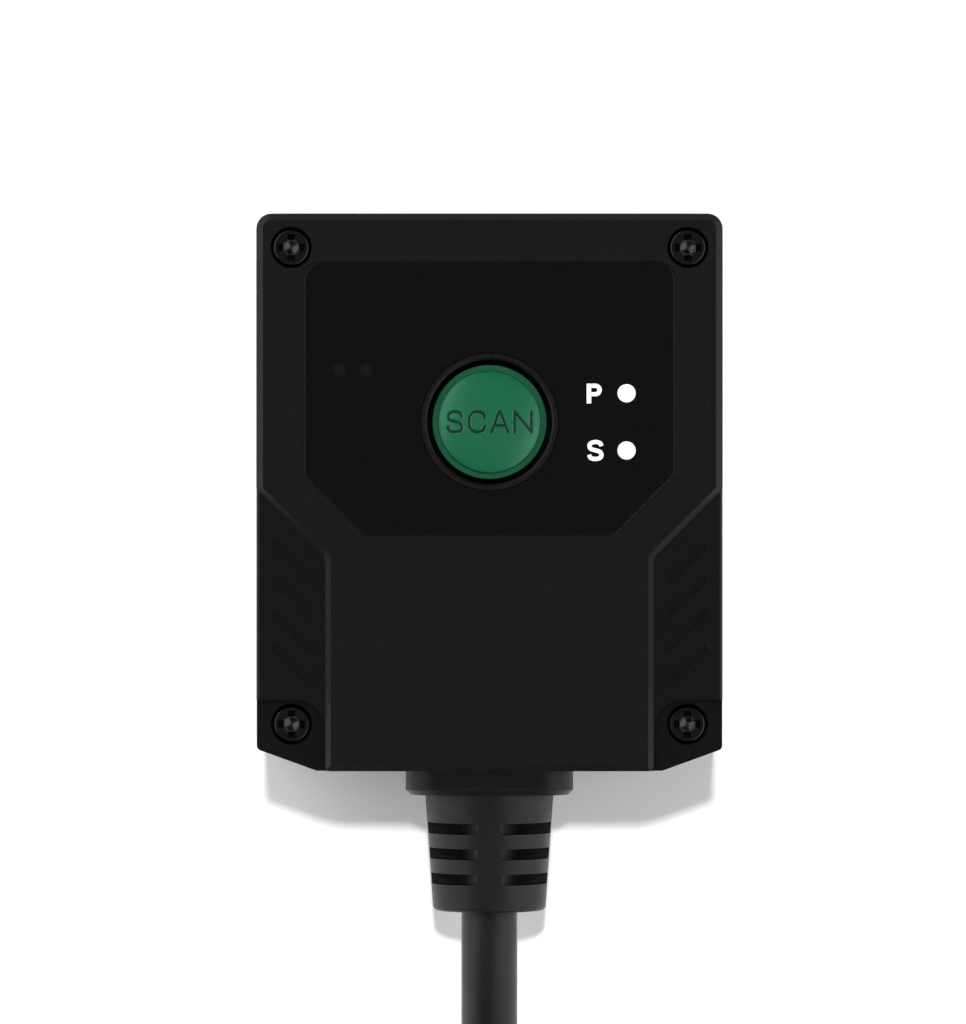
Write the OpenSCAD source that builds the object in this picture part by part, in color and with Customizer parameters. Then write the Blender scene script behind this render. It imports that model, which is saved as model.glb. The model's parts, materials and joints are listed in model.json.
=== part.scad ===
// Fixed barcode reader: a small moulded housing with a scan window in front,
// a push button on top and a cable with a moulded strain relief at the back.
// Millimetres. +Z is up, +Y is the way the scan window faces.
// The origin is the middle of the housing's underside.

/* [Housing] */
// Width of the housing, side to side
body_w = 41.6; // [41:0.1:46]
// Depth of the housing, rear face to window face
body_d = 49.75; // [49:0.25:56]
// Height of the housing to its raised top face
body_h = 24.3; // [24:0.1:28]
// Height of the top cover above the split line
cover_h = 6; // [5.6:0.1:7]
// Thickness of the side walls
wall = 2; // [1.8:0.1:2.3]
// Thickness of the base floor
floor_t = 2.2; // [1.8:0.1:2.8]
// Thickness of the cover's top wall
cover_t = 2; // [1.7:0.1:2.3]
// Radius of the two front corners seen from above
front_corner_r = 1.35; // [0.8:0.05:2]
// Width of the sloped rear corners
rear_slope_w = 5.35; // [4.5:0.05:6]
// Depth of the sloped rear corners
rear_slope_d = 1.94; // [1.5:0.02:2.6]
// Width of the bevel along the raised top face's outer edges
top_bevel = 0.6; // [0.3:0.05:0.7]
// Bevel round the underside
base_bevel = 0.6; // [0.3:0.05:1]

/* [Side cheeks] */
// Drop from the raised top face to the cheeks
cheek_drop = 0.5; // [0.3:0.05:0.7]
// Width of a cheek
cheek_w = 6.16; // [5.5:0.01:7]
// Length of the cheeks along the housing's side
cheek_len = 25.2; // [23:0.1:27]
// Distance of the grip slots from the housing's side
slot_side = 1.5; // [1.2:0.05:1.6]
// Distance of the first grip slot from the cheek's front
slot_first = 4.5; // [4.2:0.05:4.8]
// Radius of the cheeks' outer edges
cheek_edge = 0.35; // [0.2:0.05:0.4]
// Width of the bevel from the raised top face down to a cheek
step_bevel = 0.5; // [0.3:0.05:0.7]
// Number of grip slots on each cheek
slot_count = 4; // [2:1:4]
// Distance between grip slots
slot_pitch = 3.06; // [2:0.02:3.2]
// Width of a grip slot, along the housing
slot_w = 0.8; // [0.4:0.05:1.2]
// Width of a grip slot, across the cheek
slot_run = 3.53; // [2.5:0.05:3.8]
// Depth of a grip slot
slot_depth = 0.24; // [0.1:0.02:0.4]
// Depth of the pocket round a rear screw
pocket_depth = 1.2; // [0.6:0.05:1.4]
// Length of the pocket round a rear screw
pocket_len = 6.38; // [6.2:0.02:6.6]
// Radius of the pocket's inner corner
pocket_r = 2.6; // [2:0.05:3]

/* [Cover screws] */
// Distance of the screws from the housing's sides
screw_side = 3.12; // [2.9:0.01:3.2]
// Distance of the front screws from the front face
screw_front = 3.05; // [2.9:0.01:3.2]
// Distance of the rear screws from the rear face
screw_rear = 4.17; // [4.1:0.01:4.3]
// Radius of a screw head
head_r = 1.7; // [1.5:0.05:1.8]
// Height of a screw head
head_h = 1.3; // [1:0.05:1.6]
// Radius of a screw shank
shank_r = 0.95; // [0.8:0.05:1]
// Length of a screw below its head
shank_len = 8; // [7:0.25:9]
// Radius of a threaded insert
insert_r = 1.6; // [1.5:0.02:1.64]
// Length of a threaded insert
insert_len = 4; // [3:0.25:5]

/* [Label] */
// Distance of the label from the housing's sides
label_side = 4.33; // [3.9:0.01:5]
// Length of the label overlay
label_d = 24.28; // [23.6:0.05:25]
// Distance of the label from the front face
label_front = 4.36; // [4.1:0.02:4.8]
// Thickness of the label
label_t = 0.2; // [0.1:0.02:0.24]
// Cut across the label's two rear corners
label_cut = 5.36; // [4.4:0.05:6]

/* [Button] */
// Distance of the button's centre from the front face
button_front = 18.6; // [18:0.1:19]
// Radius of the button
button_r = 5.1; // [4.6:0.05:5.3]
// Gap between button and collar
button_gap = 0.42; // [0.3:0.01:0.5]
// Width of the collar round the button
collar_w = 0.57; // [0.45:0.01:0.8]
// Width of the step round the button's raised face
shoulder_w = 0.57; // [0.4:0.01:0.8]
// Height of the button's raised face above the top face
button_rise = 0.75; // [0.6:0.05:1]
// Travel of the button
button_travel = 0.5; // [0.3:0.05:0.5]

/* [Indicators and beeper] */
// Distance of the indicator windows from the housing's side
led_side = 8.58; // [8.2:0.01:9]
// Distance of the first indicator window from the front face
led_front = 16.04; // [15.5:0.02:17]
// Distance between the indicator windows
led_pitch = 5.1; // [4:0.05:6]
// Radius of an indicator window
led_r = 0.8; // [0.6:0.02:1]
// Distance of the beeper's centre from the housing's side
beeper_side = 8.6; // [8.35:0.01:8.85]
// Distance of the beeper's centre from the front face
beeper_front = 13.9; // [13.7:0.02:14.2]
// Distance between the two sound ports
port_pitch = 2.36; // [2:0.02:2.8]
// Radius of a sound port in the label
port_r = 0.66; // [0.5:0.02:0.8]

/* [Scan engine] */
// Width of the scan window
window_w = 28.4; // [27:0.1:28.8]
// Height of the scan window
window_h = 13; // [12.4:0.1:13.4]
// Thickness of the scan window
window_t = 1; // [0.8:0.05:1.2]
// Width of the scan engine
engine_w = 22; // [21:0.1:22.6]
// Depth of the scan engine
engine_d = 12; // [11:0.1:12.5]
// Gap between the scan engine and the main board
engine_gap = 1.2; // [0.8:0.1:1.6]
// Radius of the lens barrel
barrel_r = 4; // [3.5:0.05:4.3]

/* [Mounting] */
// Distance between mounting holes across the housing
mount_x = 30; // [29.6:0.1:30.4]
// Distance between mounting holes along the housing
mount_y = 24; // [23:0.1:25]
// Radius of a mounting thread
mount_r = 1.25; // [1:0.05:1.5]
// Length of a mounting insert
mount_len = 4; // [3:0.25:5]

/* [Strain relief] */
// Height of the cable's centre line above the underside
cable_z = 10; // [9.6:0.1:10.4]
// Width of the flange
flange_w = 15.2; // [14:0.1:16]
// Height of the flange
flange_h = 13; // [12:0.1:14]
// Length of the flange
flange_len = 2.5; // [1.8:0.1:2.6]
// Radius of the tapered sleeve at the flange
sleeve_r0 = 5.85; // [5.6:0.05:6]
// Radius of the tapered sleeve at its end
sleeve_r1 = 5.15; // [4.9:0.05:5.3]
// Number of rows of flex pockets
flex_rows = 3; // [2:1:3]
// Distance between rows of flex pockets
flex_pitch = 2.3; // [2:0.05:2.4]
// Width of a flex pocket
flex_w = 1; // [0.7:0.05:1.2]
// Radius of the neck through the rear wall
neck_r = 4.5; // [4.2:0.05:4.8]

/* [Cable and plug] */
// Radius of the cable
cable_r = 2.55; // [2.55:0.05:2.6]
// Width of the plug's grip
grip_w = 15.6; // [14:0.1:16]
// Height of the plug's grip
grip_h = 7.6; // [7:0.1:8]
// Width of the plug's metal shell
shell_w = 12; // [11.8:0.1:12.2]
// Height of the plug's metal shell
shell_h = 4.5; // [4.4:0.1:4.6]
// Length of the plug's metal shell
shell_len = 18.7; // [17:0.1:18.7]
// Wall of the plug's metal shell
shell_t = 0.3; // [0.25:0.05:0.4]

/* [Hidden] */

$fn = 48;
eps = 0.01;
// Clearances: drop-in fits, press-in fits and running fits
fit = 0.1;
press = 0.04;
run = 0.2;

// Main planes of the housing
half_w = body_w / 2;
front_y = body_d / 2;
rear_y = -body_d / 2;
split_z = body_h - cover_h;
cheek_z = body_h - cheek_drop;
roof_z = body_h - cover_t;
cavity_w = half_w - wall;
rear_in = rear_y + wall;
front_in = front_y - wall;
rear_corner_r = 0.45;

// Places of the cover screws and the solid columns round them
screw_x = half_w - screw_side;
screw_front_y = front_y - screw_front;
screw_rear_y = rear_y + screw_rear;
column_r = insert_r + 1.1;
counterbore_r = head_r + 0.15;
head_sink = 0.1;
pocket_z = cheek_z - pocket_depth;
pocket_y = rear_y + pocket_len;
pocket_ledge = 0.05;

// Gasket in a groove along the middle of the wall
gasket_w = 0.8;
gasket_in_base = 0.7;
gasket_in_cover = 0.4;
gasket_inset = (wall - gasket_w) / 2;

// Label, button and collar
label_sink = 0.05;
label_y1 = front_y - label_front;
label_y0 = label_y1 - label_d;
label_z = body_h - label_sink - label_t;
button_y = front_y - button_front;
bore_r = button_r + button_gap;
collar_r = bore_r + collar_w;
collar_rise = 0.12;
button_flange_r = bore_r + 0.9;
button_flange_t = 0.5;
button_flange_z = roof_z - run - button_flange_t;

// Main board on posts, with its switch under the button
board_t = 1.2;
board_top = split_z - 2.3;
board_z = board_top - board_t;
board_w = cavity_w - 1.25;
board_y1 = screw_front_y - column_r - 0.55;
board_y0 = screw_rear_y + column_r + 0.55;
post_r = 2.2;
post_front = [board_w - 2.3, board_y1 - 2];
post_rear = [mount_x / 2, -mount_y / 2];
board_screw_r = 0.8;
board_head_r = 1.5;
board_head_h = 1.1;
board_screw_len = 5;
switch_w = 6.2;
switch_h = 3.2;
plunger_r = 1.6;
plunger_rise = 0.7;
plunger_deep = 1.2;
plunger_top = board_top + switch_h + plunger_rise;

// Light pipe, beeper and membrane
led_x = half_w - led_side;
led_y = front_y - led_front;
led_h = 0.7;
beeper_x = half_w - beeper_side;
beeper_y = front_y - beeper_front;
beeper_r = 4.3;
beeper_h = 4.6;
membrane_r = 2.6;
membrane_t = 0.15;

// Scan window and its rebate in the front wall
window_z = 8.5;
seal_t = 0.2;
seal_w = 1.4;
window_sink = 0.1;
rebate_d = window_t + seal_t + window_sink;

// Scan engine on the base floor
engine_set = 1.3;
engine_h = board_z - engine_gap - floor_t;
engine_y1 = front_in - engine_set;
engine_y0 = engine_y1 - engine_d;
lens_up = 0.2;
lens_z = floor_t + engine_h / 2 + lens_up;
optic_edge = 0.8;
lamp_x = 8;
lamp_r = 2.2;
lamp_deep = 2.5;
lamp_z = floor_t + lamp_r + optic_edge;
aimer_r = 1.2;
aimer_set = 0.4;
aimer_len = 3.6;
aimer_z = floor_t + engine_h - aimer_r - optic_edge;
engine_board_t = 1;
ear_t = 1.5;
ear_lift = 1.5;
ear_gap = 0.3;
ear_x = engine_w / 2 - 2;
ear_y = engine_y0 - engine_board_t - board_head_r - ear_gap;
ear_z = floor_t + ear_lift;
ear_top = ear_z + ear_t;
engine_screw_len = 3.4;
engine_board_z = ear_top + run;
sensor_w = 6;
socket_w = 9;
socket_h = 1.2;
socket_d = 3;
strip_w = 8;
strip_t = 0.2;
strip_reach = 5.5;
strip_y = engine_y0 - engine_board_t - strip_reach;

// Mounting inserts and their bosses
mount_insert_r = 2;
mount_boss_r = mount_insert_r + 1.3;
mount_boss_h = mount_len + 1.2;

// Strain relief: flange, sleeve, neck, clip groove and inner end
flange_y = rear_y - flange_len;
relief_y = -38.05;
flange_r = 3.2;
flange_edge = 0.45;
flange_turns = 18;
sleeve_edge = 0.4;
core_half = 2.7;
core_floor = 0.9;
core_top_half = 0.9;
flex_first = 2.6;
groove_r = neck_r - 0.9;
groove_w = 1;
clip_t = groove_w - fit;
clip_half = neck_r + 2;
neck_end = 1.1;
neck_y = rear_in + groove_w + neck_end;

// Harness between the cable and the board
header_half = 5;
header_h = 3.5;
header_d = 4.5;
header_wall = 0.6;
plug_out = 3;
wire_room = 3.3;
header_y = neck_y + wire_room + plug_out;
plug_z = board_z - header_h / 2;
wire_r = 0.5;
wire_count = 4;
wire_straight = 0.9;

// Coil of the put-away cable: layers and columns lie one cable apart
coil_x = 15;
coil_y = -100;
coil_r = 23;
coil_columns = 3;
coil_layers = 3;
coil_pitch = 5.1;
coil_in = coil_r - coil_pitch / 2;
coil_step = coil_in + coil_pitch;
coil_out = coil_in + coil_columns * coil_pitch;
coil_top = coil_layers * coil_pitch;
tie_t = 0.8;
tie_gap = 0.15;
tie_arc = 20;
tie_at = 235;

// Route of the free cable, chosen by hand
lead_route = [
    [0, relief_y, cable_z], [0, -41, 9.8], [0, -44.5, 9], [0, -48, 7.7], [0, -52, 6], [-0.2, -55.5, 4.6],
    [-0.6, -58.8, 3.5], [-1.4, -62.2, 2.8], [-2.4, -65.4, 2.6], [-3.8, -68.6, 2.55]
];
tail_route = [
    [29.1, -124.3, 13.8], [36.5, -118.1, 16], [41.4, -109.6, 18.2], [43, -102.5, 18.9], [43.1, -100, 19],
    [42.7, -96.1, 19.1], [41.6, -92.4, 19.1], [39.7, -88.9, 19.1], [37.2, -85.9, 19.1], [34.2, -83.4, 19.1],
    [30.8, -81.5, 19.1], [27, -80.4, 19.1], [23.1, -80, 19.1]
];
plug_x = 23.1;
plug_y = -80;
plug_axis_z = 19.1;
grip_taper = 6;
grip_len = 19;
grip_r = 2.4;
shell_x = plug_x - grip_taper - grip_len;
shell_corner = 0.2;
tongue_h = 1.9;
contact_pitch = 2.2;

// Colours of the pieces
black = [0.11, 0.11, 0.11];
soft_black = [0.13, 0.13, 0.13];
label_black = [0.07, 0.07, 0.07];
green = [0.13, 0.41, 0.29];
white = [0.95, 0.95, 0.95];
board_green = [0.05, 0.25, 0.12];
steel = [0.75, 0.75, 0.75];
brass = [0.8, 0.65, 0.3];
ivory = [0.9, 0.88, 0.8];
chip_black = [0.16, 0.16, 0.17];

// Plan outlines, counter-clockwise from above
body_pts = [
    [half_w - rear_slope_w, rear_y], [half_w, rear_y + rear_slope_d], [half_w, front_y],
    [-half_w, front_y], [-half_w, rear_y + rear_slope_d], [rear_slope_w - half_w, rear_y]
];
body_radii = [rear_corner_r, rear_corner_r, front_corner_r, front_corner_r, rear_corner_r, rear_corner_r];
plate_half = half_w - cheek_w;
cheek_y = rear_y + cheek_len;
plate_turn_y = cheek_y - half_w + plate_half;
plate_pts = [
    [plate_half, rear_y], [plate_half, plate_turn_y], [half_w, cheek_y], [half_w, front_y],
    [-half_w, front_y], [-half_w, cheek_y], [-plate_half, plate_turn_y], [-plate_half, rear_y]
];
plate_top_half = plate_half - step_bevel;
plate_top_pts = [
    for (side = [1, -1])
        let (
            rear = [side * plate_top_half, rear_y + top_bevel],
            turn = [side * plate_top_half, plate_turn_y + step_bevel * tan(22.5)],
            cheek = [side * (half_w - top_bevel), cheek_y - top_bevel + step_bevel * sqrt(2)],
            front = [side * (half_w - top_bevel), front_y - top_bevel]
        )
        each (side > 0 ? [rear, turn, cheek, front] : [front, cheek, turn, rear])
];
plate_turn_r = 1.2;
plate_radii = [
    rear_corner_r, plate_turn_r, rear_corner_r, front_corner_r,
    front_corner_r, rear_corner_r, plate_turn_r, rear_corner_r
];
cheek_turn = 22.5;
plate_top_radii = [
    0.1, plate_turn_r + step_bevel, 0.1, front_corner_r - top_bevel,
    front_corner_r - top_bevel, 0.1, plate_turn_r + step_bevel, 0.1
];

// Unit vector, and its quarter turn to the left
function unit(v) = v / norm(v);
function left(v) = [-v[1], v[0]];

// Arc of radius r that rounds the corner p between its neighbours a and b
function corner(p, a, b, r, n) =
    let (
        u = unit(a - p),
        v = unit(b - p),
        half = acos(u * v) / 2,
        mid = p + unit(u + v) * r / sin(half),
        s = p + u * r / tan(half) - mid,
        e = p + v * r / tan(half) - mid,
        a0 = atan2(s[1], s[0]),
        turn = atan2(s[0] * e[1] - s[1] * e[0], s * e)
    )
    [for (i = [0:n]) mid + r * [cos(a0 + turn * i / n), sin(a0 + turn * i / n)]];

// Outline with each corner rounded by its own radius
function rounded(pts, radii, n = 6) =
    let (m = len(pts))
    [for (i = [0:m - 1]) each corner(pts[i], pts[(i + m - 1) % m], pts[(i + 1) % m], radii[i], n)];

// Outline moved inward by d, corner by corner
function inset(pts, d) =
    let (m = len(pts))
    [
        for (i = [0:m - 1])
            let (
                n0 = left(unit(pts[i] - pts[(i + m - 1) % m])),
                n1 = left(unit(pts[(i + 1) % m] - pts[i]))
            )
            pts[i] + (n0 + n1) * d / (1 + n0 * n1)
    ];

function same(value, n) = [for (i = [1:n]) value];

function box_pts(w, d) = [[w / 2, -d / 2], [w / 2, d / 2], [-w / 2, d / 2], [-w / 2, -d / 2]];

function rounded_box(w, d, r, n = 6) = rounded(box_pts(w, d), same(r, 4), n);

// Solid between two outlines with the same number of points, both symmetric about X = 0
module loft(low, high, z0, z1) {
    n = len(low);
    strips = [for (i = [0:n / 2 - 2]) [i, i + 1, n - 2 - i, n - 1 - i]];
    polyhedron(
        points = concat([for (p = low) [p[0], p[1], z0]], [for (p = high) [p[0], p[1], z1]]),
        faces = concat(
            strips,
            [for (s = strips) [s[3] + n, s[2] + n, s[1] + n, s[0] + n]],
            [for (i = [0:n - 1]) [i, n + i, n + (i + 1) % n, (i + 1) % n]]
        )
    );
}

// Straight prism on an outline
module prism(pts, z0, z1) {
    translate([0, 0, z0])
        linear_extrude(z1 - z0)
            polygon(pts);
}

// Box between two corners
module block(low, high) {
    translate(low)
        cube(high - low);
}

// Upright cylinder at a place
module peg(at, r, z0, z1) {
    translate([at[0], at[1], z0])
        cylinder(h = z1 - z0, r = r);
}

// Cylinder along Y from y0 to y1
module barrel(x, z, r, y0, y1) {
    translate([x, y1, z])
        rotate([90, 0, 0])
            cylinder(h = y1 - y0, r = r);
}

// Copies at both sides of the middle plane
module both_sides() {
    children();
    mirror([1, 0, 0])
        children();
}

// Tube swept along a route, with given directions at its two ends
module swept_tube(route, r, sides, first, last) {
    n = len(route);
    along = [
        for (i = [0:n - 1])
            i == 0 ? first : i == n - 1 ? last : unit(route[i + 1] - route[i - 1])
    ];
    rings = [
        for (i = [0:n - 1])
            let (
                across = unit(cross(along[i], [0, 0, 1])),
                up = cross(across, along[i])
            )
            for (k = [0:sides - 1])
                route[i] + r * (across * cos(360 * k / sides) + up * sin(360 * k / sides))
    ];
    polyhedron(
        points = rings,
        faces = concat(
            [[for (k = [0:sides - 1]) sides - 1 - k]],
            [[for (k = [0:sides - 1]) (n - 1) * sides + k]],
            [
                for (i = [0:n - 2], k = [0:sides - 1])
                    let (next = (k + 1) % sides)
                    [i * sides + k, i * sides + next, (i + 1) * sides + next, (i + 1) * sides + k]
            ]
        )
    );
}

// Space inside the walls, at any height
module cavity(z0, z1) {
    prism(rounded(inset(body_pts, wall), same(1, len(body_pts))), z0, z1);
}

// Solid corner round a cover screw, from its column out to the walls
module corner_column(at, toward, z0, z1) {
    peg(at, column_r, z0, z1);
    translate([at[0], at[1], z0])
        corner_fill(toward, z1 - z0);
}

// Block from a screw's centre into the housing's corner
module corner_fill(toward, h) {
    reach = 2 * column_r;
    translate([-column_r, toward > 0 ? 0 : -reach, 0])
        cube([reach + column_r, reach, h]);
    translate([0, toward > 0 ? -column_r : -reach, 0])
        cube([reach, reach + column_r, h]);
}

module screw_columns(z0, z1) {
    both_sides() {
        corner_column([screw_x, screw_front_y], 1, z0, z1);
        corner_column([screw_x, screw_rear_y], -1, z0, z1);
    }
}

// Ring along the middle of the wall, for the gasket and its grooves
module wall_ring(width, z0, z1) {
    grow = (width - gasket_w) / 2;
    outer = inset(body_pts, gasket_inset - grow);
    inner = inset(body_pts, gasket_inset + gasket_w + grow);
    difference() {
        prism(rounded(outer, same(0.5, len(outer))), z0, z1);
        prism(rounded(inner, same(0.3, len(inner))), z0 - 1, z1 + 1);
    }
}

// Places of the board's posts
module at_posts() {
    both_sides()
        for (p = [post_front, post_rear])
            translate([p[0], p[1], 0])
                children();
}

module at_mounts() {
    both_sides()
        for (side = [-1, 1])
            translate([mount_x / 2, side * mount_y / 2, 0])
                children();
}

// Deep tray with bosses, posts and the window opening
module base_housing() {
    outline = rounded(body_pts, body_radii);
    foot = rounded(inset(body_pts, base_bevel), same(rear_corner_r, len(body_pts)));
    color(black)
        difference() {
            union() {
                loft(foot, outline, 0, base_bevel);
                prism(outline, base_bevel, split_z);
            }
            difference() {
                cavity(floor_t, split_z + 1);
                screw_columns(0, split_z + 2);
                at_posts()
                    cylinder(h = board_z, r = post_r);
                at_mounts()
                    cylinder(h = mount_boss_h, r = mount_boss_r);
                both_sides()
                    peg([ear_x, ear_y], post_r, 0, ear_z);
            }
            window_cut();
            barrel(0, cable_z, neck_r + fit, rear_y - 1, rear_in + 1);
            at_mounts()
                translate([0, 0, -1])
                    cylinder(h = mount_len + 1, r = mount_insert_r + press);
            at_posts()
                translate([0, 0, board_z - board_screw_len])
                    cylinder(h = board_screw_len + 1, r = board_screw_r + press);
            both_sides()
                peg([ear_x, ear_y], board_screw_r + press, ear_top - engine_screw_len - fit, ear_z + 1);
            insert_bores();
            wall_ring(gasket_w + 2 * press, split_z - gasket_in_base, split_z + 1);
        }
}

// Opening in the front wall and the rebate that holds the window
module window_cut() {
    translate([0, front_y, window_z])
        rotate([90, 0, 0]) {
            translate([0, 0, -1])
                linear_extrude(rebate_d + 1)
                    polygon(rounded_box(window_w + 2 * fit, window_h + 2 * fit, 1.2));
            linear_extrude(wall + 1)
                polygon(rounded_box(window_w - 2 * seal_w, window_h - 2 * seal_w, 1));
        }
}

// Bores for the cover screws' inserts, with room for the screw tips
module insert_bores() {
    both_sides()
        for (y = [screw_front_y, screw_rear_y]) {
            peg([screw_x, y], insert_r + press, split_z - insert_len - fit, split_z + 1);
            peg([screw_x, y], shank_r + fit, split_z - shank_len, split_z + 1);
        }
}

// Moulded lid with stepped cheeks, grip slots, screw pockets and the button's collar
module top_cover() {
    color(black)
        union() {
            difference() {
                cover_blank();
                difference() {
                    cavity(split_z - 1, roof_z);
                    screw_columns(split_z - 2, roof_z + 1);
                }
                peg([0, button_y], bore_r + collar_w / 2, roof_z - 1, body_h + 1);
                prism(label_outline(fit), label_z, body_h + 1);
                peg([-beeper_x, beeper_y], membrane_r + fit, label_z - membrane_t, body_h + 1);
                both_sides() {
                    grip_slots();
                    rear_pocket();
                    screw_hole(screw_front_y, body_h);
                    screw_hole(screw_rear_y, pocket_z);
                }
                for (i = [0, 1])
                    peg([led_x, led_y - i * led_pitch], led_r + fit / 2, roof_z - 1, body_h + 1);
                for (side = [-1, 1])
                    peg([side * port_pitch / 2 - beeper_x, beeper_y], port_r - 0.1, roof_z - 1, body_h + 1);
                wall_ring(gasket_w + 2 * press, split_z - 1, split_z + gasket_in_cover);
            }
            button_collar();
        }
}

// Outer form of the lid: cheeks with round edges, and the bevelled raised plate that fills up its front
module cover_blank() {
    prism(cheek_outline(0), split_z, cheek_z - cheek_edge);
    for (a = [0:cheek_turn:90 - cheek_turn])
        loft(
            cheek_outline(a), cheek_outline(a + cheek_turn),
            cheek_z - cheek_edge * (1 - sin(a)), cheek_z - cheek_edge * (1 - sin(a + cheek_turn))
        );
    prism(rounded(plate_pts, plate_radii), split_z + cheek_edge, cheek_z);
    loft(rounded(plate_pts, plate_radii), rounded(plate_top_pts, plate_top_radii), cheek_z, body_h);
}

// Plan of the cheeks where their round edge has turned by an angle
function cheek_outline(a) =
    let (d = cheek_edge * (1 - cos(a)))
    rounded(inset(body_pts, d), [for (r = body_radii) r - d]);

// Ring round the button, with a rounded inner edge
module button_collar() {
    edge = 0.3;
    low = roof_z + 0.3;
    top = body_h + collar_rise;
    translate([0, button_y, 0])
        rotate_extrude($fn = 96)
            polygon(concat(
                [[bore_r, low], [collar_r, low], [collar_r, top]],
                [for (a = [0:15:90]) [bore_r + edge - edge * sin(a), top - edge + edge * cos(a)]]
            ));
}

// Outline of the label, or of its pocket when grown by a clearance
function label_outline(grow) =
    let (
        w = half_w - label_side + grow,
        y1 = label_y1 + grow,
        y0 = label_y0 - grow,
        cut = label_cut + 0.6 * grow
    )
    rounded(
        [[w - cut, y0], [w, y0 + cut], [w, y1], [-w, y1], [-w, y0 + cut], [cut - w, y0]],
        [1.1, 1.1, 1.7, 1.7, 1.1, 1.1]
    );

// Slanted grip slots on one cheek
module grip_slots() {
    x1 = half_w - slot_side;
    x0 = x1 - slot_run;
    drop = slot_run * 0.96;
    for (i = [0:slot_count - 1]) {
        y = cheek_y - slot_first - i * slot_pitch;
        pts = [[x1, y - slot_w], [x1, y], [x0, y - drop], [x0, y - drop - slot_w]];
        prism(rounded(pts, same(0.15, 4), 3), cheek_z - slot_depth, body_h + 1);
    }
}

// Pocket round a rear screw, open to the side and the rear
module rear_pocket() {
    far = 2 * half_w;
    inner = plate_half + pocket_ledge;
    pts = [[inner, -far], [far, -far], [far, pocket_y], [inner, pocket_y]];
    prism(rounded(pts, [0.3, 0.3, 0.3, pocket_r]), pocket_z, body_h + 1);
}

// Clearance hole and counterbore for a cover screw
module screw_hole(y, surface_z) {
    peg([screw_x, y], shank_r + fit, split_z - 1, body_h + 1);
    peg([screw_x, y], counterbore_r, surface_z - head_sink - head_h, body_h + 1);
}

module housing_gasket() {
    color(chip_black)
        wall_ring(gasket_w, split_z - gasket_in_base, split_z + gasket_in_cover);
}

// Thin printed overlay with holes for the collar, the indicators and the sound ports
module label_overlay() {
    color(label_black)
        difference() {
            prism(label_outline(0), label_z, label_z + label_t);
            peg([0, button_y], collar_r + press, 0, body_h + 1);
            for (i = [0, 1])
                peg([led_x, led_y - i * led_pitch], led_r + fit / 2, 0, body_h + 1);
            for (side = [-1, 1])
                peg([side * port_pitch / 2 - beeper_x, beeper_y], port_r, 0, body_h + 1);
        }
}

// Push button: slightly domed face, stepped shoulder, flange under the cover and a post
module scan_button() {
    face_r = button_r - shoulder_w;
    flange_top = button_flange_z + button_flange_t;
    dome = 0.75;
    draft = 0.06;
    shoulder_drop = 0.5;
    face_z = body_h + button_rise - dome;
    shoulder_z = body_h - shoulder_drop;
    dome_r = (face_r * face_r + dome * dome) / (2 * dome);
    steps = 8;
    color(green)
        translate([0, button_y, 0])
            rotate_extrude($fn = 96)
                polygon(concat(
                    [
                        [0, plunger_top], [plunger_r, plunger_top], [plunger_r, button_flange_z],
                        [button_flange_r, button_flange_z], [button_flange_r, flange_top],
                        [button_r, flange_top], [button_r, shoulder_z], [face_r + draft, shoulder_z]
                    ],
                    [
                        for (i = [steps:-1:0])
                            let (r = face_r * i / steps)
                            [r, face_z + dome - dome_r + sqrt(dome_r * dome_r - r * r)]
                    ]
                ));
}

module switch_plunger() {
    color(chip_black)
        peg([0, button_y], plunger_r, board_top + switch_h - plunger_deep, plunger_top);
}

// Square switch body with a bore for its plunger
module switch_housing() {
    color(steel)
        difference() {
            prism(
                [for (p = rounded_box(switch_w, switch_w, 0.5)) p + [0, button_y]],
                board_top, board_top + switch_h
            );
            peg(
                [0, button_y], plunger_r + fit,
                board_top + switch_h - plunger_deep - button_travel - fit, board_top + switch_h + 1
            );
        }
}

// Two clear rods joined by a bar that is staked under the cover
module light_pipe() {
    bar_t = 1;
    bar_half = led_r + 0.4;
    color(white) {
        for (i = [0, 1])
            peg([led_x, led_y - i * led_pitch], led_r, board_top + led_h + run, label_z + label_t);
        difference() {
            block(
                [led_x - bar_half, led_y - led_pitch - bar_half, roof_z - bar_t],
                [led_x + bar_half, led_y + bar_half, roof_z]
            );
            for (i = [0, 1])
                peg([led_x, led_y - i * led_pitch], led_r - 0.1, roof_z - 2 * bar_t, roof_z + bar_t);
        }
    }
}

module indicator_leds() {
    color(ivory)
        for (i = [0, 1])
            translate([led_x - 0.8, led_y - i * led_pitch - 0.5, board_top])
                cube([1.6, 1, led_h]);
}

// Round beeper with its sound hole on top
module beeper() {
    color(chip_black)
        translate([-beeper_x, beeper_y, board_top])
            difference() {
                union() {
                    cylinder(h = beeper_h - 0.4, r = beeper_r);
                    cylinder(h = beeper_h, r = beeper_r - 0.4);
                }
                translate([0, 0, beeper_h - 1.2])
                    cylinder(h = 2, r = 1);
            }
}

module sound_membrane() {
    color(black)
        peg([-beeper_x, beeper_y], membrane_r, label_z - membrane_t, label_z);
}

module main_board() {
    outline = [for (p = rounded_box(2 * board_w, board_y1 - board_y0, 1)) p + [0, (board_y0 + board_y1) / 2]];
    color(board_green)
        difference() {
            prism(outline, board_z, board_top);
            at_posts()
                cylinder(h = body_h, r = board_screw_r + fit);
        }
}

// Pan head screw pointing down from z
module small_screw(z, len) {
    translate([0, 0, z - len])
        cylinder(h = len + eps, r = board_screw_r);
    translate([0, 0, z])
        difference() {
            cylinder(h = board_head_h, r = board_head_r);
            translate([0, 0, board_head_h - 0.5])
                cylinder(h = 1, r = 0.7, $fn = 6);
        }
}

module board_screws() {
    color(steel)
        at_posts()
            small_screw(board_top, board_screw_len - fit);
}

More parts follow.
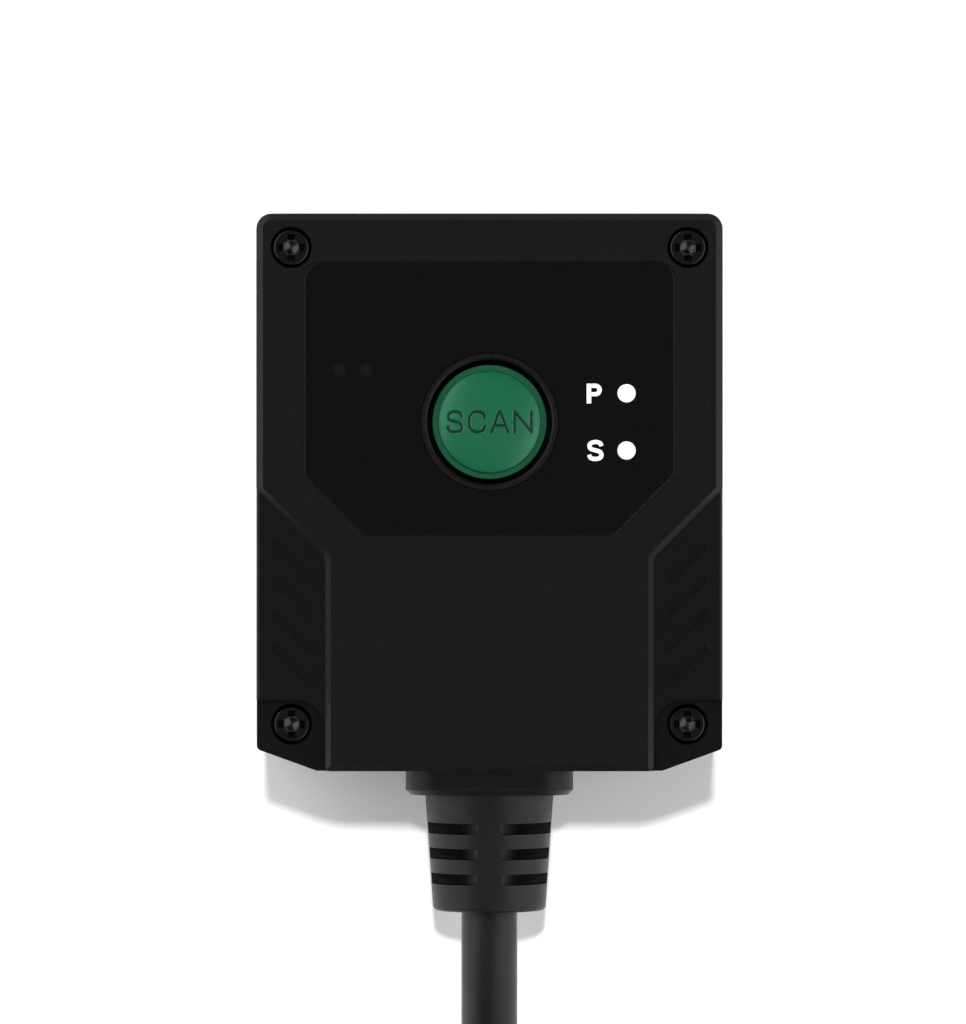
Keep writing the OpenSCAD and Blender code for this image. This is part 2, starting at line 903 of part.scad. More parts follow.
module processor_chip() {
    half = 6;
    middle = -6;
    color(chip_black)
        difference() {
            block([-half, middle - half, board_top], [half, middle + half, board_top + 1.1]);
            peg([half - 1.2, middle + half - 1.2], 0.5, board_top + 1, board_top + 2);
        }
}

// Socket on the underside of the board, open to the rear
module board_header() {
    color(ivory)
        difference() {
            block([-header_half, header_y, board_z - header_h], [header_half, header_y + header_d, board_z]);
            block(
                [header_wall - header_half, header_y - 1, board_z - header_h + header_wall],
                [header_half - header_wall, header_y + header_d / 2, board_z - header_wall]
            );
        }
}

module harness_plug() {
    half = header_half - header_wall - fit;
    color(ivory)
        block(
            [-half, header_y - plug_out, board_z - header_h + header_wall + fit],
            [half, header_y + header_d / 2 - fit, board_z - header_wall - fit]
        );
}

// Wires from the cable's inner end to the plug
module harness_wires() {
    color(steel)
        for (i = [0:wire_count - 1]) {
            across = i - (wire_count - 1) / 2;
            a = [across * 1.1, neck_y, cable_z];
            d = [across * 2, header_y - plug_out, plug_z];
            straight = [0, wire_straight, 0];
            swept_tube([a, a + straight, (a + d) / 2, d - straight, d], wire_r, 8, [0, 1, 0], [0, 1, 0]);
        }
}

// Front pane in its rebate
module scan_window() {
    color([0.5, 0.05, 0.07])
        translate([0, front_y - window_sink, window_z])
            rotate([90, 0, 0])
                linear_extrude(window_t)
                    polygon(rounded_box(window_w, window_h, 1.1));
}

module window_seal() {
    color(chip_black)
        translate([0, front_y - window_sink - window_t, window_z])
            rotate([90, 0, 0])
                linear_extrude(seal_t)
                    difference() {
                        polygon(rounded_box(window_w, window_h, 1.1));
                        polygon(rounded_box(window_w - 2 * seal_w, window_h - 2 * seal_w, 1));
                    }
}

// Block that carries the optics, with two screw ears at its foot
module engine_frame() {
    half = engine_w / 2;
    color(chip_black)
        difference() {
            union() {
                block([-half, engine_y0, floor_t], [half, engine_y1, floor_t + engine_h]);
                both_sides() {
                    peg([ear_x, ear_y], post_r - 0.2, ear_z, ear_top);
                    block(
                        [ear_x - post_r + 0.2, ear_y, ear_z],
                        [ear_x + post_r - 0.2, engine_y0 + 1, ear_top]
                    );
                }
            }
            barrel(0, lens_z, barrel_r + fit / 2, engine_y0 - 1, engine_y1 + 1);
            both_sides() {
                barrel(lamp_x, lamp_z, lamp_r, engine_y1 - lamp_deep, engine_y1 + 1);
                barrel(lamp_x, aimer_z, aimer_r + fit / 2, engine_y1 - aimer_set - aimer_len, engine_y1 + 1);
                peg([ear_x, ear_y], board_screw_r + fit, floor_t, ear_top + 1);
            }
        }
}

module engine_board() {
    color(board_green)
        block(
            [1 - engine_w / 2, engine_y0 - engine_board_t, engine_board_z],
            [engine_w / 2 - 1, engine_y0, floor_t + engine_h - 0.2]
        );
}

module image_sensor() {
    half = sensor_w / 2 - 0.3;
    color(chip_black)
        block([-half, engine_y0, lens_z - half], [half, engine_y0 + 1, lens_z + half]);
}

// Tube that holds the lens, with a lip in front
module lens_barrel() {
    deep = engine_d - 2;
    color(black)
        translate([0, engine_y1, lens_z])
            rotate([90, 0, 0])
                rotate_extrude()
                    polygon([
                        [barrel_r - 1.4, 0], [barrel_r, 0], [barrel_r, deep], [barrel_r - 0.8, deep],
                        [barrel_r - 0.8, 0.6], [barrel_r - 1.4, 0.6]
                    ]);
}

// Lens behind the barrel's lip
module lens_glass() {
    r = barrel_r - 0.8 - fit / 2;
    edge = 1;
    bulge = 0.5;
    steps = 6;
    color([0.7, 0.8, 0.9])
        translate([0, engine_y1 - 0.6 - bulge, lens_z])
            rotate([90, 0, 0])
                rotate_extrude()
                    polygon(concat(
                        [for (i = [0:steps]) [r * i / steps, -bulge * (1 - pow(i / steps, 2))]],
                        [for (i = [steps:-1:0]) [r * i / steps, edge + bulge * (1 - pow(i / steps, 2))]]
                    ));
}

// Lamps in the bottoms of the two front pockets
module illumination_leds() {
    half = 1.4;
    back = engine_y1 - lamp_deep;
    color(ivory)
        both_sides() {
            block([lamp_x - half, back, lamp_z - half], [lamp_x + half, back + 0.8, lamp_z + half]);
            barrel(lamp_x, lamp_z, 1, back + 0.8, back + 1.4);
        }
}

module aimer_lenses() {
    color([0.8, 0.85, 0.9])
        both_sides()
            barrel(lamp_x, aimer_z, aimer_r, engine_y1 - aimer_set - aimer_len, engine_y1 - aimer_set);
}

module engine_screws() {
    color(steel)
        both_sides()
            translate([ear_x, ear_y, 0])
                small_screw(ear_top, engine_screw_len);
}

// Flat sockets on the back of the engine board and under the main board
module flex_sockets() {
    half = socket_w / 2;
    y = engine_y0 - engine_board_t;
    color(ivory) {
        block([-half, y - socket_h, lens_z - socket_d / 2], [half, y, lens_z + socket_d / 2]);
        block([-half, strip_y - socket_d, board_z - socket_h], [half, strip_y, board_z]);
    }
}

// Flat strip that bends from one socket to the other
module engine_flex() {
    y1 = engine_y0 - engine_board_t - socket_h / 2 - strip_t / 2;
    z0 = lens_z + socket_d / 2;
    z1 = board_z - socket_h / 2 - strip_t / 2;
    bend = 1.5;
    path = concat(
        [[y1, z0]],
        [for (a = [0:15:90]) [y1 - bend + bend * cos(a), z1 - bend + bend * sin(a)]],
        [[strip_y, z1]]
    );
    back = concat(
        [[strip_y, z1 + strip_t]],
        [for (a = [90:-15:0]) [y1 - bend + (bend + strip_t) * cos(a), z1 - bend + (bend + strip_t) * sin(a)]],
        [[y1 + strip_t, z0]]
    );
    color([0.75, 0.45, 0.12])
        rotate([90, 0, 90])
            translate([0, 0, -strip_w / 2])
                linear_extrude(strip_w)
                    polygon(concat(path, back));
}

// Cover screws, each with a cross recess
module cover_screws() {
    color([0.3, 0.3, 0.3])
        both_sides() {
            cover_screw(screw_front_y, body_h - head_sink);
            cover_screw(screw_rear_y, pocket_z - head_sink);
        }
}

// Screw with a head bevel, four recess arms and a shallow cone in their middle
module cover_screw(y, top_z) {
    span = 2.37;
    arm = 0.66;
    deep = 0.7;
    cone_r = 0.79;
    cone_deep = 0.35;
    edge = 0.2;
    translate([screw_x, y, top_z - head_h]) {
        translate([0, 0, -shank_len])
            cylinder(h = shank_len + eps, r = shank_r);
        difference() {
            union() {
                cylinder(h = head_h - edge, r = head_r);
                translate([0, 0, head_h - edge])
                    cylinder(h = edge, r1 = head_r, r2 = head_r - edge);
            }
            for (turn = [0:90:270])
                rotate(turn)
                    translate([cone_r - 0.1, -arm / 2, head_h - deep])
                        cube([span / 2 - cone_r + 0.1, arm, deep + 1]);
            translate([0, 0, head_h - cone_deep])
                cylinder(h = cone_deep + eps, r1 = 0.05, r2 = cone_r);
        }
    }
}

// Brass inserts that the cover screws go into
module cover_inserts() {
    color(brass)
        both_sides()
            for (y = [screw_front_y, screw_rear_y])
                difference() {
                    peg([screw_x, y], insert_r, split_z - insert_len, split_z - fit);
                    peg([screw_x, y], shank_r + press, 0, split_z + 1);
                }
}

// Brass inserts for mounting, flush with the underside
module mount_inserts() {
    color(brass)
        at_mounts()
            difference() {
                cylinder(h = mount_len, r = mount_insert_r);
                translate([0, 0, -1])
                    cylinder(h = mount_len + 2, r = mount_r);
            }
}

// Moulded sleeve with a flange outside and a grooved neck inside the rear wall
module strain_relief() {
    sleeve_len = flange_y - relief_y;
    color(soft_black)
        difference() {
            union() {
                relief_flange();
                relief_profile(sleeve_len);
            }
            for (row = [0:flex_rows - 1])
                flex_pockets(flange_y - flex_first - row * flex_pitch);
        }
}

// Rounded flange with a softened outer edge
module relief_flange() {
    plain = flange_len - flange_edge;
    outline = rounded_box(flange_w, flange_h, flange_r, flange_turns);
    end_w = flange_w - 2 * flange_edge;
    end_h = flange_h - 2 * flange_edge;
    translate([0, rear_y, cable_z])
        rotate([90, 0, 0]) {
            prism(outline, 0, plain);
            loft(outline, rounded_box(end_w, end_h, flange_r - flange_edge, flange_turns), plain, flange_len);
        }
}

// Turned parts: tapered sleeve, neck, clip groove and inner end
module relief_profile(sleeve_len) {
    start = neck_y - flange_y;
    translate([0, flange_y, cable_z])
        rotate([90, 0, 0])
            rotate_extrude()
                polygon(concat(
                    [[0, -start], [neck_r, -start], [neck_r, neck_end - start]],
                    [
                        [groove_r, neck_end - start], [groove_r, flange_y - rear_in],
                        [neck_r, flange_y - rear_in], [neck_r, -flange_len / 2],
                        [sleeve_r0, -flange_len / 2], [sleeve_r0, 0]
                    ],
                    [
                        for (a = [0:30:90])
                            [
                                sleeve_r1 - sleeve_edge + sleeve_edge * cos(a),
                                sleeve_len - sleeve_edge + sleeve_edge * sin(a)
                            ]
                    ],
                    [[0, sleeve_len]]
                ));
}

// Four pockets in the sleeve's quarters, each with a ramp up to the sleeve's spine
module flex_pockets(y) {
    far = 2 * sleeve_r0;
    outline = [
        [core_half, core_floor], [far, core_floor], [far, far],
        [core_top_half, far], [core_top_half, sleeve_r0]
    ];
    for (sx = [0, 1], sz = [0, 1])
        translate([0, y, cable_z])
            mirror([sx, 0, 0])
                mirror([0, 0, sz])
                    rotate([90, 0, 0])
                        linear_extrude(flex_w)
                            polygon(outline);
}

// U-shaped clip that drops into the neck's groove behind the rear wall
module relief_clip() {
    slot_half = groove_r + fit;
    color(steel)
        translate([0, rear_in + fit / 2, cable_z])
            rotate([-90, 0, 0])
                linear_extrude(clip_t)
                    difference() {
                        polygon(rounded_box(2 * clip_half, 2 * clip_half - 1, 1.5));
                        circle(r = slot_half);
                        translate([-slot_half, 0])
                            square([2 * slot_half, 2 * clip_half]);
                    }
}

module cable_lead() {
    color(soft_black)
        swept_tube(lead_route, cable_r, 10, [0, -1, 0], unit([-0.5, -1, 0]));
}

// Outer shape of the coiled cable
module cable_coil() {
    color(soft_black)
        translate([coil_x, coil_y, 0])
            difference() {
                rotate_extrude($fn = 96)
                    polygon([
                        [coil_in, 0], [coil_out, 0], [coil_out, coil_top], [coil_step, coil_top],
                        [coil_step, coil_top - coil_pitch], [coil_in, coil_top - coil_pitch]
                    ]);
                rotate(tie_at - 1)
                    rotate_extrude(angle = tie_arc + 2)
                        translate([coil_in - 1, -1])
                            square([coil_out - coil_in + 2, tie_t + tie_gap + 1]);
            }
}

module cable_tail() {
    color(soft_black)
        swept_tube(tail_route, cable_r, 10, unit([1, 0.7, 0.25]), [-1, 0, 0]);
}

// Strap round the coil
module coil_tie() {
    reach = tie_t + tie_gap;
    color(chip_black)
        translate([coil_x, coil_y, 0])
            rotate(tie_at)
                rotate_extrude(angle = tie_arc)
                    difference() {
                        translate([coil_in - reach, 0])
                            square([coil_out - coil_in + 2 * reach, coil_top + reach]);
                        translate([coil_in - tie_gap, tie_t])
                            square([coil_out - coil_in + 2 * tie_gap, coil_top + tie_gap - tie_t]);
                    }
}

// Moulded grip with a tapered cable end
module usb_grip() {
    color(soft_black)
        translate([plug_x, plug_y, plug_axis_z])
            rotate([0, -90, 0]) {
                cylinder(h = grip_taper + 1, r1 = cable_r + 0.5, r2 = cable_r + 1);
                translate([0, 0, grip_taper])
                    linear_extrude(grip_len)
                        polygon(rounded_box(grip_h, grip_w, grip_r));
            }
}

// Folded metal shell, open in front
module usb_shell() {
    color(steel)
        translate([shell_x, plug_y, plug_axis_z])
            rotate([0, -90, 0])
                difference() {
                    linear_extrude(shell_len)
                        polygon(rounded_box(shell_h, shell_w, 0.4));
                    translate([0, 0, 1])
                        linear_extrude(shell_len)
                            polygon(rounded_box(shell_h - 2 * shell_t, shell_w - 2 * shell_t, shell_corner));
                    for (side = [-1, 1])
                        translate([-shell_h, side * 2.85 - 1.2, shell_len - 9])
                            cube([2 * shell_h, 2.4, 2.2]);
                }
}

// Insulating tongue in the lower half of the shell
module usb_tongue() {
    half = shell_w / 2 - shell_t - shell_corner;
    low = plug_axis_z - shell_h / 2 + shell_t;
    color(white)
        block(
            [shell_x - shell_len + 0.6, plug_y - half, low],
            [shell_x - 1, plug_y + half, low + tongue_h]
        );
}

// Flat contacts on the tongue
module usb_contacts() {
    z = plug_axis_z - shell_h / 2 + shell_t + tongue_h;
    color(brass)
        for (i = [0:3]) {
            y = plug_y + (i - 1.5) * contact_pitch;
            block([shell_x - shell_len + 1.6, y - 0.5, z], [shell_x - 2, y + 0.5, z + 0.15]);
        }
}

base_housing();
top_cover();
housing_gasket();
label_overlay();
scan_button();
switch_plunger();
switch_housing();
light_pipe();
indicator_leds();
beeper();
sound_membrane();
main_board();
board_screws();
processor_chip();
board_header();
harness_plug();
harness_wires();
scan_window();
window_seal();
engine_frame();
engine_board();
image_sensor();
lens_barrel();
lens_glass();
illumination_leds();
aimer_lenses();
engine_screws();
flex_sockets();
engine_flex();
cover_screws();
cover_inserts();
mount_inserts();
strain_relief();
relief_clip();
cable_lead();
cable_coil();
cable_tail();
coil_tie();
usb_grip();
usb_shell();
usb_tongue();
usb_contacts();
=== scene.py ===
"""Looks of the fixed barcode reader: finishes, cable, legends, light and camera."""

import json
import math

import bmesh
import bpy
import numpy as np
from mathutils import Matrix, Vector


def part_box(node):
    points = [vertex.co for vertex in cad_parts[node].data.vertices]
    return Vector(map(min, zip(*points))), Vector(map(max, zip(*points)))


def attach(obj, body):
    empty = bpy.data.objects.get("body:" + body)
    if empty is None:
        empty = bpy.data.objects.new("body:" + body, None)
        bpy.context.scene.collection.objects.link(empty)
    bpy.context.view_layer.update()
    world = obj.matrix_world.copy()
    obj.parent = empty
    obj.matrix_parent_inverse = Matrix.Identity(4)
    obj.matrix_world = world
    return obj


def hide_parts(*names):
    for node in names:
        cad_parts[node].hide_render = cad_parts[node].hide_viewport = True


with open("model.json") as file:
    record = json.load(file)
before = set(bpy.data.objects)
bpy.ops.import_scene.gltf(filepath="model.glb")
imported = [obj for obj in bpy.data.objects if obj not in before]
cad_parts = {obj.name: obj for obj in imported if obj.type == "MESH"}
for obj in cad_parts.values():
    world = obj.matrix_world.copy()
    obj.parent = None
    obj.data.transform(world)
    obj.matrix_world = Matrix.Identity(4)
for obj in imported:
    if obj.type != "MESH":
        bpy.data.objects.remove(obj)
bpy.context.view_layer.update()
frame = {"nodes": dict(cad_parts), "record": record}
nodes = frame["nodes"]

MM = 0.001
WHITE = (1, 1, 1, 1)

# Camera: straight above, long lens, placed so the housing lands where the photograph has it
CAMERA_PLACE_MM = (-0.58, -1.75, 624.3)
CAMERA_LENS = 236.7
CAMERA_SENSOR = 36.0
CAMERA_REACH = 10

# Light: each edge gives where a part of the room starts and where it reaches its level
PANEL_LIGHT = 1.56
PANEL_TURN_DEG = -18
PANEL_EDGE = (0.45, 0.62)
CEILING_LIGHT = 0.38
CEILING_EDGE = (0.55, 0.85)
HORIZON_LIGHT = 1.0
HORIZON_EDGE = (0.08, 0.05)
DARK_LIGHT = 0.015
KEY_LIGHT = 2.17
KEY_TILT_DEG = 14.2
KEY_SPREAD_DEG = 3

# Floor, a hair below the object
FLOOR_HALF = 6.0
FLOOR_Z = -0.02 * MM
FLOOR_COLOR = (0.9, 0.9, 0.9, 1)
FLOOR_ROUGH = 0.9
FLOOR_GLOW = 0.11

# Cable route in millimetres, as in the part's source
CABLE_R = 2.55
CABLE_ROUNDNESS = 6
ROUTE_STEPS = 2
LEAD_ROUTE = [
    (0, -38.05, 10), (0, -41, 9.8), (0, -44.5, 9), (0, -48, 7.7), (0, -52, 6), (-0.2, -55.5, 4.6),
    (-0.6, -58.8, 3.5), (-1.4, -62.2, 2.8), (-2.4, -65.4, 2.6), (-3.8, -68.6, 2.55),
    (-5.4, -71.7, 2.55), (-7.4, -74.9, 2.55),
]
TAIL_ROUTE = [
    (29.1, -124.3, 13.8), (36.5, -118.1, 16), (41.4, -109.6, 18.2), (43, -102.5, 18.9), (43.1, -100, 19),
    (42.7, -96.1, 19.1), (41.6, -92.4, 19.1), (39.7, -88.9, 19.1), (37.2, -85.9, 19.1), (34.2, -83.4, 19.1),
    (30.8, -81.5, 19.1), (27, -80.4, 19.1), (23.1, -80, 19.1),
]
COIL_CENTRE = (15, -100)
COIL_R = 23
COIL_PITCH = 5.1
COIL_COLUMNS = [2, 1, 0, 0, 1, 2, 2, 1]
COIL_LAYERS = [0, 0, 0, 1, 1, 1, 2, 2]
COIL_START_DEG = 138.5
COIL_END_DEG = 280 + 7 * 360
COIL_TURN = 0.94
COIL_STEP = 0.11
COIL_POINT_DEG = 5

# Rounding of small edges
WELD_M = 1e-7
FLAT_DEG = 0.5

# Button in millimetres, as in the part's source
BUTTON_Y = 6.275
BUTTON_R = 5.1
BUTTON_FACE_R = 4.53
BUTTON_DOME = 0.75
BUTTON_CURVE = 2.5
BUTTON_EDGE_R = 0.12
BUTTON_STEP_Z = 23.8
BUTTON_FLANGE_R = 6.42
BUTTON_FLANGE_Z = (21.6, 22.1)
BUTTON_POST_R = 1.6
BUTTON_SEGMENTS = 420
BUTTON_RINGS = 72
BUTTON_SHARP_DEG = 50

# Greens of the button by place: cut letters, painted shade on the step round the face, and darker painted
# shade on the skirt below
BUTTON_GREENS = ["engraved_green", "rim_green", "skirt_green"]
ENGRAVED, RIM, SKIRT = 1, 2, 3
ENGRAVED_SHARE = 0.5
RIM_Z = BUTTON_STEP_Z + 0.1
SKIRT_Z = 23.4

# Cover in millimetres, as in the part's source
COVER_TOP_Z = 24.3
SCREW_PLACES = [(x, y) for x in (-17.68, 17.68) for y in (21.825, -20.705)]
SCREW_RIM_R = 1.4
# Heights of the screw heads' tops; below them the screws get painted shade
SCREW_HEADS_Z = [(22.4, 22.55), (24.1, 25)]

# Upward part of the face normals on the sloping floor of the screws' recess, and its tolerance
RECESS_SLOPE = 0.915
RECESS_SPAN = 0.03

# Legends in millimetres from the housing's middle
SCAN_LETTERS = {"S": (-3.83, -2.30), "C": (-1.94, -0.30), "A": (0.06, 1.75), "N": (2.11, 3.83)}
SCAN_HEIGHT = 2.05
SCAN_STROKE = 0.23
SCAN_DEPTH = 0.1
SCAN_EDGE = 0.05
SCAN_MARGIN = 0.2
SIGN_P = (8.66, 10.01, 7.93, 9.69)
SIGN_S = (8.67, 10.20, 2.79, 4.68)
SIGN_STROKE = 0.37
SIGN_THICKNESS = 0.015

# Fine lip of the label's pocket, in millimetres
LIP_R = 0.08
LIP_SUNK = 0.035
LIP_ROUNDNESS = 3

# Least upward part of a normal on the label's top face
FACING_UP = 0.9

# Middle lines of the letters in a unit square
S_LINE = [
    (0.97, 0.76), (0.86, 0.93), (0.5, 1.0), (0.14, 0.92), (0.04, 0.75), (0.16, 0.59), (0.5, 0.51),
    (0.85, 0.42), (0.97, 0.24), (0.86, 0.07), (0.5, 0.0), (0.13, 0.07), (0.02, 0.25),
]
C_LINE = [
    (0.98, 0.72), (0.88, 0.91), (0.55, 1.0), (0.2, 0.92), (0.03, 0.7), (0.0, 0.5), (0.03, 0.3),
    (0.2, 0.08), (0.55, 0.0), (0.88, 0.09), (0.98, 0.29),
]
LETTER_LINES = {
    "S": [S_LINE],
    "C": [C_LINE],
    "A": [[(0, 0), (0.46, 1)], [(0.46, 1), (0.54, 1)], [(0.54, 1), (1, 0)], [(0.16, 0.32), (0.84, 0.32)]],
    "N": [[(0, 0), (0, 1)], [(0, 1), (1, 0)], [(1, 0), (1, 1)]],
}

# Bold P in a unit square: stem and bar widths, the bowl's lowest point, and where its arcs start and end
P_STEM = 0.3
P_BAR = 0.21
P_LOW = 0.36
P_OUTER_X = (0.58, 1.0)
P_HOLE_X = (0.55, 0.7)
P_STEPS = 12

# Span that noise mostly keeps to
NOISE_SPAN = (0.3, 0.7)


# Nodes of materials and of the world

def add_node(tree, kind, **settings):
    """New node with its settings."""
    node = tree.nodes.new(kind)
    for key, value in settings.items():
        setattr(node, key, value)
    return node


def put(tree, target, value):
    """Links a socket to an input, or sets the input to a plain value."""
    if isinstance(value, bpy.types.NodeSocket):
        tree.links.new(value, target)
    else:
        target.default_value = value


def calculate(tree, operation, *values):
    """Result of a math operation on sockets and plain numbers."""
    node = add_node(tree, "ShaderNodeMath", operation=operation)
    for target, value in zip(node.inputs, values):
        put(tree, target, value)
    return node.outputs["Value"]


def highest(tree, values):
    """Largest of several sockets."""
    total = values[0]
    for value in values[1:]:
        total = calculate(tree, "MAXIMUM", total, value)
    return total


def upward(tree, vector):
    """Z part of a vector socket."""
    split = add_node(tree, "ShaderNodeSeparateXYZ")
    put(tree, split.inputs["Vector"], vector)
    return split.outputs["Z"]


def remap(tree, value, span, wanted, curve="LINEAR"):
    """Takes a socket from one span of numbers to another."""
    node = add_node(tree, "ShaderNodeMapRange", interpolation_type=curve)
    for key, number in zip(("From Min", "From Max", "To Min", "To Max"), (*span, *wanted)):
        put(tree, node.inputs[key], number)
    put(tree, node.inputs["Value"], value)
    return node.outputs["Result"]


class Shader:
    """A new node material with its main shader and a few helpers."""

    def __init__(self, name):
        self.material = bpy.data.materials.new(name)
        self.material.use_nodes = True
        self.tree = self.material.node_tree
        self.inputs = self.tree.nodes["Principled BSDF"].inputs
        self.place = add_node(self.tree, "ShaderNodeTexCoord").outputs["Object"]

    def feed(self, **values):
        """Gives inputs of the main shader a socket or a plain value each."""
        for key, value in values.items():
            put(self.tree, self.inputs[key.replace("_", " ")], value)

    def noise(self, size_mm, detail, stretch=None):
        """Noise whose features are about size_mm across."""
        where = self.place
        if stretch:
            mapping = add_node(self.tree, "ShaderNodeMapping")
            put(self.tree, mapping.inputs["Scale"], stretch)
            put(self.tree, mapping.inputs["Vector"], self.place)
            where = mapping.outputs["Vector"]
        node = add_node(self.tree, "ShaderNodeTexNoise")
        put(self.tree, node.inputs["Scale"], 1 / (size_mm * MM))
        put(self.tree, node.inputs["Detail"], detail)
        put(self.tree, node.inputs["Vector"], where)
        return node.outputs["Fac"]

    def uneven(self, noise, low, high):
        """Roughness that goes from low to high with the noise."""
        self.feed(Roughness=remap(self.tree, noise, NOISE_SPAN, (low, high)))

    def drift(self, noise, color, change):
        """Colour that goes a share darker and lighter with the noise."""
        dark = tuple(c * (1 - change) for c in color)
        light = tuple(c * (1 + change) for c in color)
        return self.blend(remap(self.tree, noise, NOISE_SPAN, (0, 1)), dark, light)

    def blend(self, factor, first, second):
        """Colour that goes from the first to the second; each is a socket or a plain colour."""
        node = add_node(self.tree, "ShaderNodeMix", data_type="RGBA")
        put(self.tree, node.inputs["Factor"], factor)
        for key, color in (("A", first), ("B", second)):
            put(self.tree, node.inputs[key], (*color, 1) if isinstance(color, tuple) else color)
        return node.outputs["Result"]

    def between(self, bands_mm):
        """One at heights inside the bands, nothing outside them."""
        height = upward(self.tree, self.place)
        inside = [
            calculate(self.tree, "COMPARE", height, (low + high) / 2 * MM, (high - low) / 2 * MM)
            for low, high in bands_mm
        ]
        return highest(self.tree, inside)

    def bump(self, noise, height_mm):
        """Fine relief of the surface."""
        node = add_node(self.tree, "ShaderNodeBump")
        put(self.tree, node.inputs["Strength"], 1.0)
        put(self.tree, node.inputs["Distance"], height_mm * MM)
        put(self.tree, node.inputs["Height"], noise)
        self.feed(Normal=node.outputs["Normal"])


# Kinds of material

def moulded(
    name, color, rough, grain_mm=0.2, height_mm=0.01, change=0.12,
    specular=0.5, gloss=(1, 1, 1), painted_shade_bands=(),
):
    """Moulded plastic or rubber: fine grain, uneven gloss, colour drift, and painted shade as darker colour
    in given height bands.
    """
    rough_change = 0.04
    shader = Shader(name)
    mixed = shader.drift(shader.noise(grain_mm, detail=2), color, change)
    # Painted shade: each band darkens the colour at its heights
    for band, dark in painted_shade_bands:
        mixed = shader.blend(shader.between([band]), mixed, dark)
    shader.feed(Base_Color=mixed, Specular_IOR_Level=specular, Specular_Tint=(*gloss, 1))
    shader.uneven(shader.noise(size_mm=2.5, detail=3), rough - rough_change, rough + rough_change)
    shader.bump(shader.noise(grain_mm, detail=3), height_mm)
    return shader.material


def metal(name, color, rough, brush=None):
    """Metal with fine scratches, along one direction where it is brushed."""
    rough_change = 0.07
    shader = Shader(name)
    lines = shader.noise(size_mm=0.25, detail=4, stretch=brush)
    patches = shader.noise(size_mm=1.2, detail=3)
    shader.feed(Base_Color=shader.drift(patches, color, change=0.08), Metallic=1.0)
    shader.uneven(lines, rough - rough_change, rough + rough_change)
    shader.bump(lines, height_mm=0.002)
    return shader.material


def blackened(name, head, worn, painted_recess_shade):
    """Blackened steel, worn on the sloping floor of the driver's recess, with painted shade making its arms
    and everything below the heads' tops darker.
    """
    shader = Shader(name)
    normal = add_node(shader.tree, "ShaderNodeNewGeometry").outputs["True Normal"]
    slope = calculate(shader.tree, "COMPARE", upward(shader.tree, normal), RECESS_SLOPE, RECESS_SPAN)
    # Painted shade: below the heads' tops the colour drops to the darker recess value
    mixed = shader.blend(shader.between(SCREW_HEADS_Z), (painted_recess_shade,) * 3, (head,) * 3)
    shader.feed(Base_Color=shader.blend(slope, mixed, (worn,) * 3), Metallic=1.0)
    shader.uneven(shader.noise(size_mm=0.3, detail=3), low=0.16, high=0.24)
    return shader.material


def clear(name, color):
    """Clear glass or plastic with a faintly uneven surface."""
    shader = Shader(name)
    patches = shader.noise(size_mm=3, detail=2)
    shader.feed(Base_Color=shader.drift(patches, color, change=0.04), Transmission_Weight=1.0, IOR=1.5)
    shader.uneven(shader.noise(size_mm=4, detail=3), low=0.03, high=0.06)
    return shader.material


def glowing(name, color, strength):
    """Milky light guide that shows its lamp."""
    shader = Shader(name)
    patches = shader.noise(size_mm=0.5, detail=2)
    shader.feed(Base_Color=shader.drift(patches, color, change=0.02))
    shader.feed(Emission_Color=(*color, 1), Emission_Strength=strength)
    shader.uneven(shader.noise(size_mm=0.8, detail=2), low=0.25, high=0.32)
    return shader.material


def tracked(name, color):
    """Circuit board: solder mask with faint tracks under it."""
    along = (3, 0.4, 1)
    shader = Shader(name)
    tracks = shader.noise(size_mm=1.6, detail=4, stretch=along)
    shader.feed(Base_Color=shader.drift(tracks, color, change=0.35))
    shader.uneven(shader.noise(size_mm=1.0, detail=3), low=0.3, high=0.42)
    shader.bump(shader.noise(size_mm=0.8, detail=3, stretch=along), height_mm=0.01)
    return shader.material


